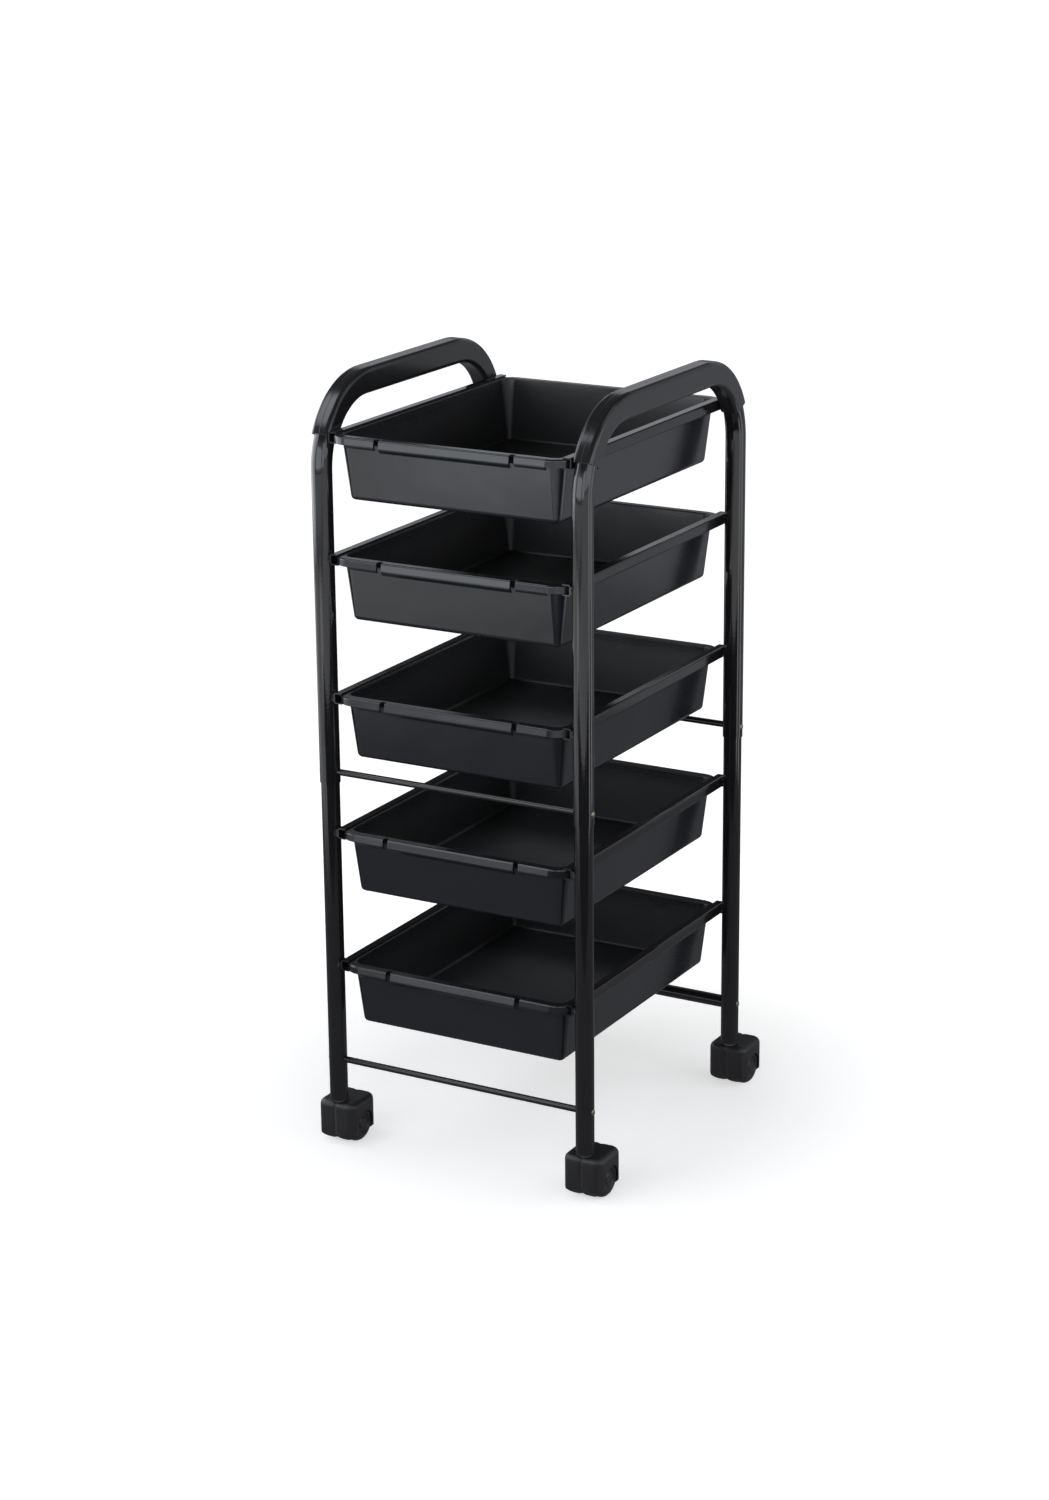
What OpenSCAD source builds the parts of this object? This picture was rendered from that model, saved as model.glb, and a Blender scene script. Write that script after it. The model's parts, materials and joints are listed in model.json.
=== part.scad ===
// Rolling salon trolley: two ladder side frames, five sliding trays, four twin-wheel casters.
// +Z is up and +Y is the back. The origin is on the floor, at the middle of the outer size.

/* [Frame] */
// Distance between the left and right leg centres
leg_span_x = 306; // [260:1:380]
// Distance between the front and rear leg centres
leg_span_y = 346; // [330:1:420]
// Outer diameter of the upper leg tubes
upper_leg_d = 22; // [20:0.5:24]
// Outer diameter of the lower leg tubes
lower_leg_d = 20; // [18:0.5:20.5]
// Wall of the leg tubes
tube_wall = 1.5; // [1:0.1:2]
// How far the upper legs reach below the middle crossbars
joint_drop = 12; // [10:0.5:18]
// Length of the spigot that enters each upper leg
spigot_len = 40; // [30:1:45]

/* [Handles] */
// Height of the handle's crest above the top pair of rails
handle_rise = 53; // [47:1:70]
// Thickness of the handle across the trolley
handle_w = 22; // [20:0.5:24]
// Thickness of the handle at its crest, in the plane of its arch
handle_t = 28; // [25.5:0.5:31]
// Thickness of the handle where it meets the tubes
handle_seam_t = 24; // [23:0.25:25]
// How far the handle stands out from the tube on the outside of the bend
handle_step = 1.5; // [0.5:0.25:1.75]
// Outer radius of the bends from the legs into the handle
handle_bend_r = 97; // [85:1:110]
// How far round the bend, in degrees, each tube reaches before the handle takes over
seam_angle = 25; // [20:0.5:28]
// Corner radius of the handle's section
handle_edge_r = 5; // [3:0.25:6]

/* [Rails] */
// Height of the top face of the bottom pair of rails
bottom_rail_z = 218; // [190:1:240]
// Height between each of the four lower pairs of rails
tier_pitch = 150; // [130:1:170]
// Height from the second pair of rails to the top pair
top_pitch = 128; // [110:1:150]
// Height of a rail's channel
rail_h = 12; // [10:0.5:14]
// Width of a rail's channel
rail_w = 9.5; // [8:0.5:10]
// Sheet thickness of a rail
rail_wall = 1.5; // [1:0.1:2]
// Length of the saddle that is welded to each leg
saddle_len = 12; // [10:1:16]

/* [Trays] */
// Depth of a tray from its rim to its underside
tray_depth = 69.5; // [50:0.5:80]
// Thickness of a tray's wall, floor and rim
tray_wall = 2.2; // [1.6:0.1:2.6]
// How far the rim stands out from the wall
rim_w = 8.6; // [7:0.1:9.5]
// How much narrower the wall is at the floor than at the rim
tray_draft = 8.5; // [4:0.5:9]
// Corner radius of the rim
rim_corner_r = 23; // [22.5:0.5:30]
// Radius between the wall and the floor
floor_edge_r = 5.5; // [3.5:0.5:6]
// How far the rim stands ahead of the front leg centres
tray_reach = 12; // [6:1:16]
// How far the rim runs on behind the rear leg centres
tray_overrun = 6; // [2:0.5:8]
// Height of the lip along the front of the rim
front_lip_h = 13.5; // [11:0.5:18]
// How far the pull lip leans out
pull_lean = 1.5; // [0.5:0.1:2.5]
// Distance from the middle of the tray to each notch in the front rim
notch_x = 79; // [40:1:95]
// Width of a notch
notch_w = 6; // [3:0.5:10]
// Gap above and below the rim inside its rail
runner_gap = 0.25; // [0.15:0.05:0.5]
// Gap between the side of the rim and its rail
side_gap = 0.4; // [0.3:0.05:1]

/* [Crossbars] */
// How far the middle crossbars run below the third tray
mid_bar_drop = 18; // [10:0.5:30]
// Height of the low crossbars
low_bar_z = 100; // [90:1:115]
// Diameter of the thin crossbars
bar_d = 7; // [6.5:0.5:9]
// Diameter of the low rear crossbar
rear_bar_d = 14; // [8:0.5:16]
// Diameter of the crossbar screws
screw_d = 3.8; // [3:0.1:4.2]
// Diameter of the screw heads
screw_head_d = 8; // [6:0.5:10]
// Height of the screw heads
screw_head_h = 3; // [2:0.25:4]
// How far a screw enters its crossbar
screw_depth = 18; // [10:1:25]

/* [Casters] */
// Diameter of the caster wheels
wheel_d = 42; // [37:0.5:46]
// Width of one wheel
wheel_w = 16.5; // [14.5:0.5:19]
// Radius of the tread's outer shoulder
shoulder_r = 8; // [6.5:0.25:8.5]
// Distance from the swivel axis back to the axle
caster_trail = 15; // [13:0.5:16]
// Height of the hood's top above its wheels
hood_rise = 8; // [7:0.25:10]
// Corner radius of the hood
hood_corner_r = 12; // [9:0.5:13]
// Radius of the hood's top edge
hood_edge_r = 6.5; // [5:0.25:7.5]
// How far the hood follows the wheels below the axle, in degrees, at the front and the rear
guard_angle = 28; // [15:1:35]
// Wall of the hood
hood_wall = 2; // [1.6:0.1:2.2]
// Thickness of the web between the two wheels
web_t = 8; // [7:0.1:9]
// Diameter of the axle
axle_d = 5; // [4:0.25:6]
// Diameter of the swivel stem
stem_d = 8; // [6:0.25:9]

/* [Hidden] */

$fn = 64;
LEFT = -1;
RIGHT = 1;
FRONT = -1;
REAR = 1;

// Small clearances: a plug in its tube, a shaft that turns, two faces that pass each other
plug_gap = 0.05;
running_gap = 0.05;
face_gap = 0.3;
// Overlap of two solids that are one piece
weld = 0.5;

// Caster, measured from the axle and from the floor
axle_z = wheel_d / 2;
wheel_inner_x = web_t / 2 + 1;
hub_inner_x = web_t / 2 + face_gap;
wheel_outer_x = wheel_inner_x + wheel_w;
axle_half = wheel_outer_x - 3.6;
hood_half_x = wheel_outer_x + 1 + hood_wall;
hood_half_y = wheel_d / 2 + 1.5 + hood_wall;
hood_top_z = wheel_d + hood_rise;
guard_inner_r = wheel_d / 2 - 2.5;
notch_half = web_t / 2 - 0.5;
notch_rise = 4;
boss_r = stem_d / 2 + 4;
web_half_y = wheel_d * 0.3;
hub_window_r = wheel_d * 0.36;

// Plan of the frame
leg_x = leg_span_x / 2;
inner_x = leg_x - upper_leg_d / 2;
front_reach = max(upper_leg_d / 2, tray_reach + pull_lean, hood_half_y - caster_trail);
rear_reach = max(upper_leg_d / 2, tray_overrun, hood_half_y + caster_trail);
mid_y = (front_reach - rear_reach) / 2;

// Heights of the rails, from the top pair down
second_rail_z = bottom_rail_z + 3 * tier_pitch;
rail_z = [
    second_rail_z + top_pitch,
    second_rail_z,
    second_rail_z - tier_pitch,
    second_rail_z - 2 * tier_pitch,
    bottom_rail_z,
];
rim_drop = rail_wall + runner_gap;

// Heights along a leg
collar_h = 1.7;
collar_r = stem_d / 2 + 3;
socket_z = hood_top_z + collar_h + face_gap;
socket_flange_h = 2;
leg_bottom_z = socket_z + socket_flange_h;
mid_bar_z = rail_z[2] - rim_drop - tray_depth - mid_bar_drop;
leg_joint_z = mid_bar_z - joint_drop;
upper_bore_r = upper_leg_d / 2 - tube_wall;
spigot_r = upper_bore_r - plug_gap;
spigot_bore_r = min(lower_leg_d / 2 - tube_wall, spigot_r - 1);
socket_len = 30;
stem_depth = 28;

// The bend from a leg into the handle, on one centre for the tube and the handle
bend_z = rail_z[0] + handle_rise - handle_bend_r;
tube_bend_r = handle_bend_r - handle_step - upper_leg_d / 2;
bend_y = leg_span_y / 2 - tube_bend_r;

// The handle is two sweeps that overlap: the outer one follows the tube's bend, and the inner one
// leaves it at the seam and makes the handle thicker towards the crest
sweep_t = handle_t / 2 + handle_edge_r + 1;
seam_inner_r = handle_bend_r - handle_seam_t;
inner_bend_r = (handle_bend_r - handle_t - seam_inner_r * sin(seam_angle)) / (1 - sin(seam_angle));
inner_shift = seam_inner_r - inner_bend_r;
handle_layers = [[handle_bend_r - sweep_t / 2, 0], [inner_bend_r + sweep_t / 2, inner_shift]];

// Plan of a tray, measured from the middle of its rim
tray_len = tray_reach + leg_span_y + tray_overrun;
rim_half_x = inner_x - rail_wall - side_gap;
corner_x = rim_half_x - rim_corner_r;
corner_y = tray_len / 2 - rim_corner_r;
tray_y = mid_y + (tray_overrun - tray_reach) / 2;
skirt_h = rail_h - 2 * rail_wall - 2 * runner_gap;
rim_edge_r = tray_wall * 0.9;
lip_edge_r = tray_wall * 0.3;
notch_depth = rim_w - tray_wall;
pull_drop = 2;
bead_h = 9;
bead_r = 3;
bead_tuck = 2.5;
cut_clear = 5;
lip_overlap = 1;

// The stop tab stands just behind the rounded rear corner of the rim
lip_x = inner_x - rail_w;
rim_corner_drop = rim_corner_r - sqrt(pow(rim_corner_r, 2) - pow(max(lip_x - corner_x, 0), 2));
stop_y = tray_y + tray_len / 2 - rim_corner_drop + face_gap;

// A top rail ends just past the leg centres, near the handle's outline
top_rail_overhang = 3;
saddle_reach = 5;

function leg_y(end) = mid_y + end * leg_span_y / 2;
function leg_r_at(z) = (z < leg_joint_z ? lower_leg_d : upper_leg_d) / 2;

// ---- outlines -------------------------------------------------------------

function unit(v) = v / norm(v);

// Points of the arc that rounds the corner p between its neighbours a and b
function fillet(a, p, b, r, steps = 5) =
    let (
        u = unit(a - p),
        v = unit(b - p),
        half = acos(u * v) / 2,
        centre = p + unit(u + v) * r / sin(half),
        from = p + u * r / tan(half) - centre,
        to = p + v * r / tan(half) - centre,
        start = atan2(from.y, from.x),
        turn = sign(cross(from, to)) * (180 - 2 * half)
    )
    [for (i = [0:steps]) centre + r * [cos(start + turn * i / steps), sin(start + turn * i / steps)]];

// An outline from corners [x, y, radius]; a radius of 0 keeps the corner sharp
function rounded(corners) = [
    for (i = [0:len(corners) - 1])
        let (
            n = len(corners),
            p = corners[i],
            a = corners[(i + n - 1) % n],
            b = corners[(i + 1) % n],
            at = [p.x, p.y]
        )
        for (q = p.z > 0 ? fillet([a.x, a.y], at, [b.x, b.y], p.z) : [at])
            q
];

module rounded_rectangle(w, h, r) {
    square([w, h - 2 * r], center = true);
    square([w - 2 * r, h], center = true);
    for (x = [-1, 1], y = [-1, 1])
        translate([x * (w / 2 - r), y * (h / 2 - r)])
            circle(r = r);
}

// Sweeps a wall's section round a rectangle of corner axes; the section's x is the distance
// outwards from a corner axis, and its y is the height
module sweep_round(cx, cy) {
    for (quarter = [0:3]) {
        sx = quarter == 0 || quarter == 3 ? 1 : -1;
        sy = quarter < 2 ? 1 : -1;
        translate([sx * cx, sy * cy, 0])
            rotate([0, 0, 90 * quarter])
                rotate_extrude(angle = 90)
                    children();
        along_x = quarter % 2 == 1;
        rotate([0, 0, 90 * quarter])
            translate([along_x ? cy : cx, 0, 0])
                rotate([90, 0, 0])
                    linear_extrude(2 * (along_x ? cx : cy), center = true)
                        children();
    }
}

module x_cylinder(r, from, to) {
    translate([from, 0, 0])
        rotate([0, 90, 0])
            cylinder(r = r, h = to - from);
}

// ---- frame ----------------------------------------------------------------

// Turns a section, drawn at its distance from the bend's centre, up from the leg's side of the
// bend or down from its crest; the shift moves that centre outwards along the seam
module bend_sweep(angle, shift = 0, from_crest = false) {
    translate([0, bend_y + shift * cos(seam_angle), bend_z + shift * sin(seam_angle)])
        rotate(from_crest ? [0, -90, 0] : [90, 0, 90])
            rotate_extrude(angle = angle)
                children();
}

module handle_section() {
    rounded_rectangle(sweep_t, handle_w, handle_edge_r);
}

// Moulded arch that carries on the bend of the legs, with a plug in each of them
module handle(side) {
    color("dimgray")
        translate([side * leg_x, mid_y, 0]) {
            for (end = [0, 1])
                mirror([0, end, 0]) {
                    for (layer = handle_layers)
                        bend_sweep(90 - seam_angle, layer.y, from_crest = true)
                            translate([layer.x, 0])
                                handle_section();
                    bend_sweep(seam_angle + 1)
                        translate([tube_bend_r, 0])
                            circle(r = upper_bore_r - plug_gap);
                }
            for (layer = handle_layers)
                translate([0, 0, bend_z + layer.x + layer.y * sin(seam_angle)])
                    rotate([90, 90, 0])
                        linear_extrude(2 * (bend_y + layer.y * cos(seam_angle)), center = true)
                            handle_section();
        }
}

// Clearance holes for the screw that crosses a leg at a crossbar
module screw_way(z) {
    translate([0, 0, z])
        x_cylinder(screw_d / 2 + 0.2, -upper_leg_d, upper_leg_d);
}

// Straight tube up to the bend, then round it as far as the seam
module leg_upper(side, end) {
    color([0.07, 0.07, 0.08])
        translate([side * leg_x, mid_y, 0])
            mirror([0, end == FRONT ? 1 : 0, 0])
                difference() {
                    union() {
                        bend_sweep(seam_angle)
                            translate([tube_bend_r, 0])
                                circle(d = upper_leg_d);
                        translate([0, leg_span_y / 2, leg_joint_z])
                            cylinder(d = upper_leg_d, h = bend_z - leg_joint_z);
                    }
                    bend_sweep(seam_angle + 1)
                        translate([tube_bend_r, 0])
                            circle(r = upper_bore_r);
                    translate([0, leg_span_y / 2, leg_joint_z - 1])
                        cylinder(r = upper_bore_r, h = bend_z - leg_joint_z + 1);
                    translate([0, leg_span_y / 2, 0])
                        screw_way(mid_bar_z);
                }
}

// Lower tube, drawn down at its top to enter the upper one
module leg_lower(side, end) {
    color([0.07, 0.07, 0.08])
        translate([side * leg_x, leg_y(end), 0])
            difference() {
                union() {
                    translate([0, 0, leg_bottom_z])
                        cylinder(d = lower_leg_d, h = leg_joint_z - leg_bottom_z);
                    translate([0, 0, leg_joint_z - weld])
                        cylinder(r = spigot_r, h = spigot_len + weld);
                }
                translate([0, 0, leg_bottom_z - 1])
                    cylinder(r = spigot_bore_r, h = leg_joint_z + spigot_len);
                screw_way(mid_bar_z);
                screw_way(low_bar_z);
            }
}

// Bent sheet channel, open towards the trays, with a saddle on each leg and a stop at the back
module rail(side, tier) {
    z = rail_z[tier - 1];
    fold_r = rail_wall * 1.4;
    channel = rounded([
        [inner_x, z, fold_r],
        [lip_x, z, 0],
        [lip_x, z - rail_wall, 0],
        [inner_x - rail_wall, z - rail_wall, 0.5],
        [inner_x - rail_wall, z - rail_h + rail_wall, 0.5],
        [lip_x, z - rail_h + rail_wall, 0],
        [lip_x, z - rail_h, 0],
        [inner_x, z - rail_h, fold_r],
    ]);
    saddle_x = inner_x - rail_wall / 2;
    on_leg = tier > 1;
    half = leg_span_y / 2 + (on_leg ? saddle_len / 2 : top_rail_overhang);
    color([0.1, 0.1, 0.11])
        mirror([side == LEFT ? 1 : 0, 0, 0]) {
            translate([0, mid_y, 0])
                rotate([90, 0, 0])
                    linear_extrude(2 * half, center = true)
                        polygon(channel);
            translate([lip_x, stop_y, z - rail_h + rail_wall / 2])
                cube([rail_w - rail_wall / 2, rail_wall, rail_h - rail_wall]);
            if (on_leg)
                for (end = [FRONT, REAR])
                    difference() {
                        translate([saddle_x, leg_y(end) - saddle_len / 2, z - rail_h + fold_r])
                            cube([leg_x - saddle_x - saddle_reach, saddle_len, rail_h - 2 * fold_r]);
                        translate([leg_x, leg_y(end), z - rail_h - 1])
                            cylinder(r = leg_r_at(z), h = rail_h + 2);
                    }
        }
}

// ---- trays ----------------------------------------------------------------

// Section from the middle of the floor to the rolled rim, with its height from the rim's top
module tray_section() {
    wall_top = rim_corner_r - rim_w;
    lean = atan(tray_draft / (tray_depth - tray_wall));
    inset = tray_wall / cos(lean) - tray_wall * tan(lean);
    polygon(rounded([
        [0, -tray_depth, 0],
        [wall_top - tray_draft, -tray_depth, floor_edge_r],
        [wall_top, -tray_wall, 0.8],
        [rim_corner_r - tray_wall, -tray_wall, 0.8],
        [rim_corner_r - tray_wall, -skirt_h, 0],
        [rim_corner_r, -skirt_h, 0],
        [rim_corner_r, 0, rim_edge_r],
        [wall_top - inset, 0, 1.4],
        [wall_top - tray_draft - inset, tray_wall - tray_depth, floor_edge_r - tray_wall],
        [0, tray_wall - tray_depth, 0],
    ]));
}

// Lip under the front rim: a round bead that tucks under. The stretch between the notches stands
// out further and hangs lower, to pull by
module front_lip(from, to, drop, lean) {
    face = -tray_len / 2;
    back = face + tray_wall;
    translate([from, 0, 0])
        rotate([90, 0, 90])
            linear_extrude(to - from)
                polygon(rounded([
                    [face, -rim_edge_r, 0],
                    [face - lean, -bead_h, bead_r],
                    [face + bead_tuck, -drop, lip_edge_r],
                    [back + bead_tuck, -drop, lip_edge_r],
                    [back, -bead_h, 1],
                    [back, -rim_edge_r, 0],
                ]));
}

module tray(tier) {
    color(tier == 1 ? [0.3, 0.31, 0.33] : [0.16, 0.16, 0.18])
        translate([0, tray_y, rail_z[tier - 1] - rim_drop])
            difference() {
                union() {
                    sweep_round(corner_x, corner_y)
                        tray_section();
                    translate([-corner_x, -corner_y, -tray_depth])
                        cube([2 * corner_x, 2 * corner_y, tray_wall]);
                    front_lip(-notch_x + lip_overlap, notch_x - lip_overlap, front_lip_h, pull_lean);
                    for (side = [0, 1])
                        mirror([side, 0, 0])
                            front_lip(
                                notch_x + lip_overlap,
                                corner_x,
                                front_lip_h - pull_drop,
                                pull_lean / 2
                            );
                }
                for (side = [LEFT, RIGHT])
                    translate([side * notch_x, -tray_len / 2 - cut_clear, -front_lip_h - cut_clear])
                        translate([-notch_w / 2, 0, 0])
                            cube([notch_w, notch_depth + cut_clear, front_lip_h + 2 * cut_clear]);
            }
}

// ---- crossbars ------------------------------------------------------------

module crossbar(end, z, d) {
    leg_r = leg_r_at(z);
    color([0.12, 0.11, 0.11])
        translate([0, leg_y(end), z])
            difference() {
                x_cylinder(d / 2, -leg_x, leg_x);
                for (side = [LEFT, RIGHT])
                    translate([side * leg_x, 0, -d]) {
                        cylinder(r = leg_r, h = 2 * d);
                        translate([-side * (leg_r + screw_depth + 1), 0, d])
                            x_cylinder(screw_d / 2, side == LEFT ? -leg_x : 0, side == LEFT ? 0 : leg_x);
                    }
            }
}

module crossbar_screws() {
    color("silver")
        for (side = [LEFT, RIGHT], end = [FRONT, REAR], z = [mid_bar_z, low_bar_z])
            translate([side * leg_x, leg_y(end), z])
                mirror([side == LEFT ? 1 : 0, 0, 0])
                    rotate([0, 90, 0])
                        rotate_extrude()
                            polygon(rounded([
                                [0, -leg_r_at(z) - screw_depth, 0],
                                [screw_d / 2, -leg_r_at(z) - screw_depth, 0.8],
                                [screw_d / 2, leg_r_at(z), 0],
                                [screw_head_d / 2, leg_r_at(z), 0],
                                [screw_head_d / 2, leg_r_at(z) + screw_head_h, screw_head_h * 0.7],
                                [0, leg_r_at(z) + screw_head_h, 0],
                            ]));
}

// ---- casters --------------------------------------------------------------

module at_leg(side, end) {
    translate([side * leg_x, leg_y(end), 0])
        children();
}

module at_axle() {
    translate([0, caster_trail, axle_z])
        children();
}

// Insert that plugs into the leg and carries the stem
module caster_socket(side, end) {
    color("black")
        at_leg(side, end)
            difference() {
                union() {
                    translate([0, 0, socket_z])
                        cylinder(d = lower_leg_d, h = socket_flange_h);
                    translate([0, 0, socket_z])
                        cylinder(r = spigot_bore_r - plug_gap, h = socket_len);
                }
                translate([0, 0, socket_z - 1])
                    cylinder(r = stem_d / 2 + running_gap, h = stem_depth + 2);
            }
}

module caster_stem(side, end) {
    color("silver")
        at_leg(side, end)
            rotate_extrude()
                polygon(rounded([
                    [0, wheel_d, 0],
                    [stem_d / 2, wheel_d, 0],
                    [stem_d / 2, hood_top_z, 0],
                    [collar_r, hood_top_z, 0],
                    [collar_r, hood_top_z + collar_h, 0.6],
                    [stem_d / 2, hood_top_z + collar_h, 0],
                    [stem_d / 2, socket_z + stem_depth, 1.2],
                    [0, socket_z + stem_depth, 0],
                ]));
}

// The hood's front wall carried on below the axle, round the wheels' treads
module hood_guard() {
    mirror([0, 0, 1])
        rotate([90, 0, 90])
            rotate_extrude(angle = guard_angle)
                intersection() {
                    difference() {
                        rounded_rectangle(2 * hood_half_y, 2 * hood_half_x, hood_corner_r);
                        rounded_rectangle(
                            2 * (hood_half_y - hood_wall),
                            2 * (hood_half_x - hood_wall),
                            hood_corner_r - hood_wall
                        );
                    }
                    translate([guard_inner_r, -hood_half_x])
                        square([hood_half_y, 2 * hood_half_x]);
                }
}

// Slot with a round top that parts the two wheels' guards
module hood_notch() {
    translate([0, hood_half_y + 1, 0])
        rotate([90, 0, 0])
            linear_extrude(hood_half_y - web_half_y) {
                translate([0, notch_rise])
                    circle(r = notch_half);
                translate([-notch_half, -axle_z])
                    square([2 * notch_half, axle_z + notch_rise]);
            }
}

// Round-cornered cap over both wheels, with the web between them and a boss for the stem
module caster_hood(side, end) {
    flat_x = hood_half_x - hood_corner_r;
    flat_y = hood_half_y - hood_corner_r;
    inner_r = hood_corner_r - hood_wall;
    ceiling_z = hood_top_z - hood_wall;
    window_x = hood_half_x - hood_wall - 0.2;
    color([0.13, 0.13, 0.14])
        at_leg(side, end)
            difference() {
                union() {
                    translate([0, caster_trail, 0]) {
                        sweep_round(flat_x, flat_y)
                            polygon(rounded([
                                [0, hood_top_z, 0],
                                [hood_corner_r, hood_top_z, hood_edge_r],
                                [hood_corner_r, axle_z, 0],
                                [inner_r, axle_z, 0],
                                [inner_r, ceiling_z, hood_edge_r - hood_wall],
                                [0, ceiling_z, 0],
                            ]));
                        translate([-flat_x, -flat_y, ceiling_z])
                            cube([2 * flat_x, 2 * flat_y, hood_wall]);
                        translate([-web_t / 2, -web_half_y, axle_z])
                            cube([web_t, 2 * web_half_y, ceiling_z + weld - axle_z]);
                    }
                    at_axle() {
                        x_cylinder(web_half_y, -web_t / 2, web_t / 2);
                        for (face = [0, 1])
                            mirror([0, face, 0])
                                hood_guard();
                    }
                    translate([0, 0, wheel_d])
                        cylinder(r = boss_r, h = ceiling_z + weld - wheel_d);
                }
                translate([0, 0, wheel_d - 1])
                    cylinder(d = stem_d, h = hood_rise + 2);
                at_axle() {
                    x_cylinder(axle_d / 2, -web_t, web_t);
                    for (face = [0, 1]) {
                        mirror([face, 0, 0])
                            x_cylinder(hub_window_r, window_x, hood_half_x + 1);
                        mirror([0, face, 0])
                            hood_notch();
                    }
                }
            }
}

module caster_axle(side, end) {
    color("silver")
        at_leg(side, end)
            at_axle()
                x_cylinder(axle_d / 2, -axle_half, axle_half);
}

// One wheel with a round tread, a dished face and a closed hub over the axle's end
module wheel(face, side, end) {
    bore = axle_d / 2 + running_gap;
    tread_r = wheel_d / 2;
    tread_depth = 6;
    inner_shoulder_r = shoulder_r / 2;
    hub_r = bore + 4;
    dish_r = tread_r - shoulder_r - 1.5;
    dish_depth = 2;
    back_x = wheel_inner_x + 1.5;
    cap_x = wheel_outer_x - 0.5;
    color([0.1, 0.1, 0.11])
        at_leg(side, end)
            at_axle()
                mirror([face == LEFT ? 1 : 0, 0, 0])
                    rotate([0, 90, 0])
                        rotate_extrude()
                            polygon(rounded([
                                [bore, hub_inner_x, 0],
                                [hub_r, hub_inner_x, 0],
                                [hub_r, back_x, 0],
                                [tread_r - tread_depth - 0.5, back_x, 0],
                                [tread_r - tread_depth, wheel_inner_x, 0],
                                [tread_r, wheel_inner_x, inner_shoulder_r],
                                [tread_r, wheel_outer_x, shoulder_r],
                                [dish_r, wheel_outer_x, 0.8],
                                [dish_r - 1.5, wheel_outer_x - dish_depth, 0.8],
                                [hub_r + 0.5, wheel_outer_x - dish_depth, 0.8],
                                [hub_r - 1, cap_x, 1],
                                [0, cap_x, 0],
                                [0, axle_half + face_gap, 0],
                                [bore, axle_half + face_gap, 0],
                            ]));
}

// ---- nodes ----------------------------------------------------------------

handle(LEFT);  // handle_left
handle(RIGHT);  // handle_right
leg_upper(LEFT, FRONT);  // leg_upper_front_left
leg_upper(RIGHT, FRONT);  // leg_upper_front_right
leg_upper(LEFT, REAR);  // leg_upper_rear_left
leg_upper(RIGHT, REAR);  // leg_upper_rear_right
leg_lower(LEFT, FRONT);  // leg_lower_front_left
leg_lower(RIGHT, FRONT);  // leg_lower_front_right
leg_lower(LEFT, REAR);  // leg_lower_rear_left
leg_lower(RIGHT, REAR);  // leg_lower_rear_right
rail(LEFT, 1);  // rail_1_left
rail(RIGHT, 1);  // rail_1_right
rail(LEFT, 2);  // rail_2_left
rail(RIGHT, 2);  // rail_2_right
rail(LEFT, 3);  // rail_3_left
rail(RIGHT, 3);  // rail_3_right
rail(LEFT, 4);  // rail_4_left
rail(RIGHT, 4);  // rail_4_right
rail(LEFT, 5);  // rail_5_left
rail(RIGHT, 5);  // rail_5_right
tray(1);  // tray_1
tray(2);  // tray_2
tray(3);  // tray_3
tray(4);  // tray_4
tray(5);  // tray_5
crossbar(FRONT, mid_bar_z, bar_d);  // crossbar_mid_front
crossbar(REAR, mid_bar_z, bar_d);  // crossbar_mid_rear
crossbar(FRONT, low_bar_z, bar_d);  // crossbar_low_front
crossbar(REAR, low_bar_z, rear_bar_d);  // crossbar_low_rear
crossbar_screws();
caster_socket(LEFT, FRONT);  // caster_socket_front_left
caster_stem(LEFT, FRONT);  // caster_stem_front_left
caster_hood(LEFT, FRONT);  // caster_hood_front_left
caster_axle(LEFT, FRONT);  // caster_axle_front_left
wheel(LEFT, LEFT, FRONT);  // wheel_left_front_left
wheel(RIGHT, LEFT, FRONT);  // wheel_right_front_left
caster_socket(RIGHT, FRONT);  // caster_socket_front_right
caster_stem(RIGHT, FRONT);  // caster_stem_front_right
caster_hood(RIGHT, FRONT);  // caster_hood_front_right
caster_axle(RIGHT, FRONT);  // caster_axle_front_right
wheel(LEFT, RIGHT, FRONT);  // wheel_left_front_right
wheel(RIGHT, RIGHT, FRONT);  // wheel_right_front_right
caster_socket(LEFT, REAR);  // caster_socket_rear_left
caster_stem(LEFT, REAR);  // caster_stem_rear_left
caster_hood(LEFT, REAR);  // caster_hood_rear_left
caster_axle(LEFT, REAR);  // caster_axle_rear_left
wheel(LEFT, LEFT, REAR);  // wheel_left_rear_left
wheel(RIGHT, LEFT, REAR);  // wheel_right_rear_left
caster_socket(RIGHT, REAR);  // caster_socket_rear_right
caster_stem(RIGHT, REAR);  // caster_stem_rear_right
caster_hood(RIGHT, REAR);  // caster_hood_rear_right
caster_axle(RIGHT, REAR);  // caster_axle_rear_right
wheel(LEFT, RIGHT, REAR);  // wheel_left_rear_right
wheel(RIGHT, RIGHT, REAR);  // wheel_right_rear_right
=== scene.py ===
# %% [markdown]
# # A rolling salon trolley
# Two ladder-shaped side frames of black powder-coated tube carry five moulded trays that slide out, and the
# whole stands on twin-wheel casters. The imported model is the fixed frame. The added pieces take their places
# from it, so the looks can't drift away from the construction.

# %% The frame
import json
import math

import bpy
from mathutils import Matrix, Vector

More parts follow.
